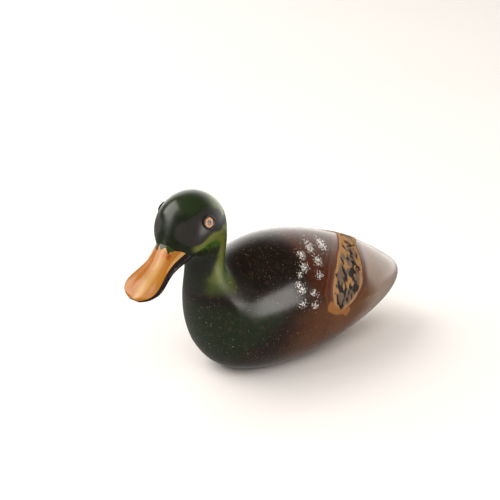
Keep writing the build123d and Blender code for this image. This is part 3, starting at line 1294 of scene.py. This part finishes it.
@dataclass
class Fittings:
    """The CAD nodes that keep their shape: plate, screws, ballast, neck fixings and line tie."""

    plate_wood: RawWood = RawWood("oiled_pine_plate", "#a9814f", "#7b5a34", 2.2, 0.5)
    dowel_wood: RawWood = RawWood("birch_dowel", "#d3b586", "#b08f5e", 1.6, 0.6)
    brass: Metal = Metal("drawn_brass", "#cfa750", "#7b5d2a", 2.5, 0.28)
    steel: Metal = Metal("zinc_plated_steel", "#b9bcc0", "#7d8084", 2.0, 0.35)
    lead: Metal = Metal("cast_lead", "#6d7076", "#3f4247", 4.0, 0.55)

    def build(self) -> None:
        """Gives each node its material."""
        finishes = {
            self.plate_wood: ["bottom_plate"],
            self.dowel_wood: ["neck_dowels", "bill_pin"],
            self.brass: ["bottom_plate_screws", "ballast_screws", "line_staple", "line_ring"],
            self.steel: ["neck_lag_screw", "neck_washer", "left_eye_stem", "right_eye_stem"],
            self.lead: ["ballast_weight"],
        }
        for finish, nodes in finishes.items():
            material = finish.material()
            for node in nodes:
                dress(node, material)


@dataclass
class Softbox:
    """One rectangular studio light, aimed at the duck.

    Args:
        name: what it is called.
        azimuth: where it stands, in degrees, with 0 in front of the duck and 90 on its left.
        elevation: its height in degrees.
        distance: how far off it is, in metres.
        size: its width and height in metres.
        power: in watts.
        shine: whether it lights surfaces, shows in gloss, or both.
        colour: its colour.
    """

    name: str
    azimuth: float
    elevation: float
    distance: float
    size: tuple[float, float]
    power: float
    shine: Shine = Shine.BOTH
    colour: str = "#fffaf5"

    def build(self, aim: Vector) -> None:
        """Adds the light.

        Args:
            aim: the point that it faces.
        """
        lamp = bpy.data.lights.new(self.name, "AREA")
        lamp.shape = "RECTANGLE"
        lamp.size, lamp.size_y = self.size
        lamp.energy = self.power
        lamp.color = linear(self.colour)[:3]
        made = bpy.data.objects.new(self.name, lamp)
        back = direction(self.azimuth, self.elevation)
        made.location = aim + back * self.distance
        made.rotation_euler = (-back).to_track_quat("-Z", "Y").to_euler()
        made.visible_glossy = self.shine is not Shine.SOFT
        made.visible_diffuse = self.shine is not Shine.GLOSS
        bpy.context.scene.collection.objects.link(made)


def direction(azimuth: float, elevation: float) -> Vector:
    """The unit vector towards an azimuth and elevation: 0 in front, 90 on the duck's left."""
    a, e = math.radians(azimuth), math.radians(elevation)
    return Vector((math.sin(a) * math.cos(e), -math.cos(a) * math.cos(e), math.sin(e)))


@dataclass
class Studio:
    """A pale floor under soft light that comes mostly from behind, and the camera."""

    aim: tuple[float, float, float] = (-0.0095, -0.0124, 0.0981)
    azimuth: float = 50.0
    elevation: float = 20.0
    distance: float = 1.1
    lens: float = 91.08
    floor_half: float = 8.0
    lamp_reach: float = 1.2
    backdrop: str = "#fdfcf7"
    lights: list[Softbox] = field(
        default_factory=lambda: [
            Softbox("side_softbox", 102.0, 12.0, 1.3, (0.95, 0.6), 13.0, Shine.GLOSS),
            Softbox("front_softbox", -47.0, 29.0, 1.5, (1.0, 0.9), 14.0, Shine.GLOSS),
            Softbox("left_bounce", -90.0, 40.0, 3.0, (2.6, 2.6), 31.0, Shine.SOFT),
            Softbox("front_bounce", -40.0, 45.0, 3.0, (2.6, 2.6), 60.0, Shine.SOFT),
            Softbox("camera_bounce", 50.0, 45.0, 3.0, (2.6, 2.6), 50.0, Shine.SOFT),
        ]
    )
    rear_azimuth: float = -146.0
    rear_light: float = 2.0
    front_light: float = 0.04
    floor_light: float = 0.28
    room_light: float = 0.46

    def build(self) -> None:
        """Adds the floor, the surround, the lights and the camera."""
        self.build_floor()
        self.build_world()
        for light in self.lights:
            light.build(Vector((0.0, 0.0, 0.07)))
        self.build_camera()

    def build_floor(self) -> None:
        """A wide flat floor of matt paper, lit from within where the lamps no longer reach."""
        half = self.floor_half
        corners = [(-half, -half, 0.0), (half, -half, 0.0), (half, half, 0.0), (-half, half, 0.0)]
        mesh = bpy.data.meshes.new("paper_floor")
        mesh.from_pydata(corners, [], [(0, 1, 2, 3)])
        floor = bpy.data.objects.new("paper_floor", mesh)
        bpy.context.scene.collection.objects.link(floor)
        material = bpy.data.materials.new("matt_paper")
        material.use_nodes = True
        tree = material.node_tree
        shader = tree.nodes["Principled BSDF"]
        shader.inputs["Base Color"].default_value = linear("#f8f4f1")
        shader.inputs["Roughness"].default_value = 0.9
        shader.inputs["Specular IOR Level"].default_value = 0.1
        shader.inputs["Emission Color"].default_value = linear(self.backdrop)
        at = add_node(tree, "ShaderNodeTexCoord").outputs["Object"]
        reach = add_node(tree, "ShaderNodeVectorMath", {"operation": "LENGTH"}, {0: at})
        lit = (self.lamp_reach, self.floor_half)
        glow = add_range(tree, reach.outputs["Value"], lit, (0.0, 0.6))
        tree.links.new(glow, shader.inputs["Emission Strength"])
        mesh.materials.append(material)
        floor.visible_glossy = False

    def build_world(self) -> None:
        """A surround that is bright behind the duck and dim before it."""
        world = bpy.data.worlds.new("surround")
        bpy.context.scene.world = world
        world.use_nodes = True
        tree = world.node_tree
        tree.nodes.clear()
        ray = add_node(tree, "ShaderNodeTexCoord").outputs["Generated"]
        rear = direction(self.rear_azimuth, 0.0)
        facing = add_node(
            tree,
            "ShaderNodeVectorMath",
            {"operation": "DOT_PRODUCT", 1: tuple(rear)},
            {0: ray},
        )
        height = add_node(tree, "ShaderNodeSeparateXYZ", {}, {0: ray}).outputs["Z"]
        across = add_range(tree, facing.outputs["Value"], (0.35, 0.85), (0.0, self.rear_light), True)
        upward = add_range(tree, height, (0.98, 0.4), eased=True)
        below = add_range(tree, height, (-0.02, 0.02), (self.floor_light, self.front_light))
        above = add_range(tree, height, (-0.22, -0.08), eased=True)
        window = add_node(
            tree,
            "ShaderNodeMath",
            {"operation": "MULTIPLY"},
            {0: upward, 1: above},
        )
        level = add_node(
            tree,
            "ShaderNodeMath",
            {"operation": "MULTIPLY_ADD"},
            {0: across, 1: window.outputs[0], 2: below},
        )
        lit = add_node(
            tree,
            "ShaderNodeBackground",
            {"Color": linear("#fffdf8")},
            {"Strength": level.outputs[0]},
        )
        room = {"Color": linear("#fffdf8"), "Strength": self.room_light}
        soft = add_node(tree, "ShaderNodeBackground", room)
        seen = add_node(tree, "ShaderNodeBackground", {"Color": linear(self.backdrop), "Strength": 1.0})
        path = add_node(tree, "ShaderNodeLightPath")
        both = {0: path.outputs["Is Glossy Ray"], 1: soft.outputs[0], 2: lit.outputs[0]}
        around = add_node(tree, "ShaderNodeMixShader", {}, both)
        mixed = add_node(
            tree,
            "ShaderNodeMixShader",
            {},
            {0: path.outputs["Is Camera Ray"], 1: around.outputs[0], 2: seen.outputs[0]},
        )
        add_node(tree, "ShaderNodeOutputWorld", {}, {"Surface": mixed.outputs[0]})

    def build_camera(self) -> None:
        """The camera, on the duck's left front."""
        lens = bpy.data.cameras.new("camera")
        lens.lens = self.lens
        lens.sensor_width = 36.0
        lens.clip_start = 0.01
        lens.clip_end = 100.0
        camera = bpy.data.objects.new("camera", lens)
        back = direction(self.azimuth, self.elevation)
        camera.location = Vector(self.aim) + back * self.distance
        camera.rotation_euler = (-back).to_track_quat("-Z", "Y").to_euler()
        bpy.context.scene.collection.objects.link(camera)
        bpy.context.scene.camera = camera
        bpy.context.scene.view_settings.view_transform = "Standard"


BODY_PAINT = PaintedWood(
    "varnished_body_paint",
    ground="#2a1a12",
    shade="#1a100c",
    layers=(
        Layer("umber", "#5a3419", 0.2, 9.0),
        Layer("amber", "#6b4322", 0.3, 9.0, 0.5, 0.7),
        Layer("green", "#1d2617", 0.2, 9.0),
        Layer("russet", "#46200f", 0.25, 8.0),
        Layer("soot", "#1b1510", 0.25, 9.0),
        # Olive collar at the neck's seat: partly olive paint, partly a painted sheen.
        Layer("collar_and_sheen", "#4c5a20", 0.35, 6.0, 0.5, 0.8),
        Layer("tail", "#9a877b", 0.25, 10.0, 0.45),
        Layer("rings", "#6d3f26", 0.3, 5.0, 0.5, 0.7),
        Layer("halo", "#5c3424", 0.2, 3.0, 0.4, 0.85),
        Layer("bare", "#9a642f", 0.5, 4.0, 0.5),
        Layer("bark", "#a87c4c", 0.1, 2.0, 0.3),
        Layer("crust", "#6f5a4a", 0.35, 1.6, 0.35),
        Layer("crack", "#261e19", 0.35, 1.2, 0.3),
        Layer("knot", "#2a1408", 0.1, 2.0, 0.3),
        Layer("fleck", "#dcd9d2", 1.3, 1.4, 0.07),
    ),
)
HEAD_PAINT = PaintedWood(
    "varnished_head_paint",
    ground="#1b2413",
    shade="#10160c",
    layers=(
        Layer("crown", "#26301c", 0.3, 8.0, 0.5, 0.8),
        Layer("throat", "#202319", 0.25, 8.0),
        Layer("nape", "#5c6b26", 0.3, 7.0, 0.5, 0.8),
        Layer("vivid", "#35530c", 0.3, 5.0, 0.5, 0.9),
        Layer("jaw", "#666c2e", 0.3, 5.0, 0.5, 0.95),
        # Olive collar low on the neck: partly olive paint, partly a painted sheen.
        Layer("collar_and_sheen", "#4c5a20", 0.35, 6.0, 0.5, 0.6),
        # Grey round the eye: partly charcoal paint, partly a painted sheen.
        Layer("mask", "#2a2725", 0.35, 5.0, 0.5),
    ),
)
BILL_STAIN = PaintedWood(
    "stained_bill",
    ground="#a86c18",
    shade="#945a10",
    layers=(
        Layer("valley", "#a25c08", 0.2, 6.0, 0.5, 0.7),
        Layer("ridge", "#bd9058", 0.25, 6.0, 0.5, 0.95),
        Layer("rim", "#c4935a", 0.2, 4.0, 0.4, 0.8),
        Layer("blush", "#bd7350", 0.2, 3.0, 0.4, 0.8),
        Layer("burn", "#8a3c0c", 0.2, 3.0, 0.4, 0.9),
        Layer("band", "#1c0f0b", 0.15, 2.0, 0.25),
        Layer("lip", "#a86a38", 0.2, 2.0, 0.3),
        Layer("pit", "#120a08", 0.1, 1.0, 0.25),
        Layer("feather", "#2c3614", 0.1, 1.5, 0.25),
    ),
)


def main() -> None:
    """Builds the duck, its fittings and the studio."""
    logging.basicConfig(level=logging.INFO, format="%(name)s %(message)s")
    carving = Carving()
    DuckBody(carving).build(BODY_PAINT)
    DuckHead(carving).build(HEAD_PAINT)
    DuckBill(carving).build(BILL_STAIN)
    putty = PaintedWood("painted_putty", ground="#1d1613", shade="#120e0c")
    iris = Enamel("iris_enamel", "#cf8f4a", "#a8682e", 0.8, 0.6)
    pupil = Enamel("pupil_enamel", "#1c130c", "#0c0806", 0.8, 0.5)
    for side in Side:
        DuckEye(carving, side).build(putty, iris, pupil, ClearGlass("pressed_glass"))
    Fittings().build()
    Studio().build()


if __name__ == "__main__":
    main()
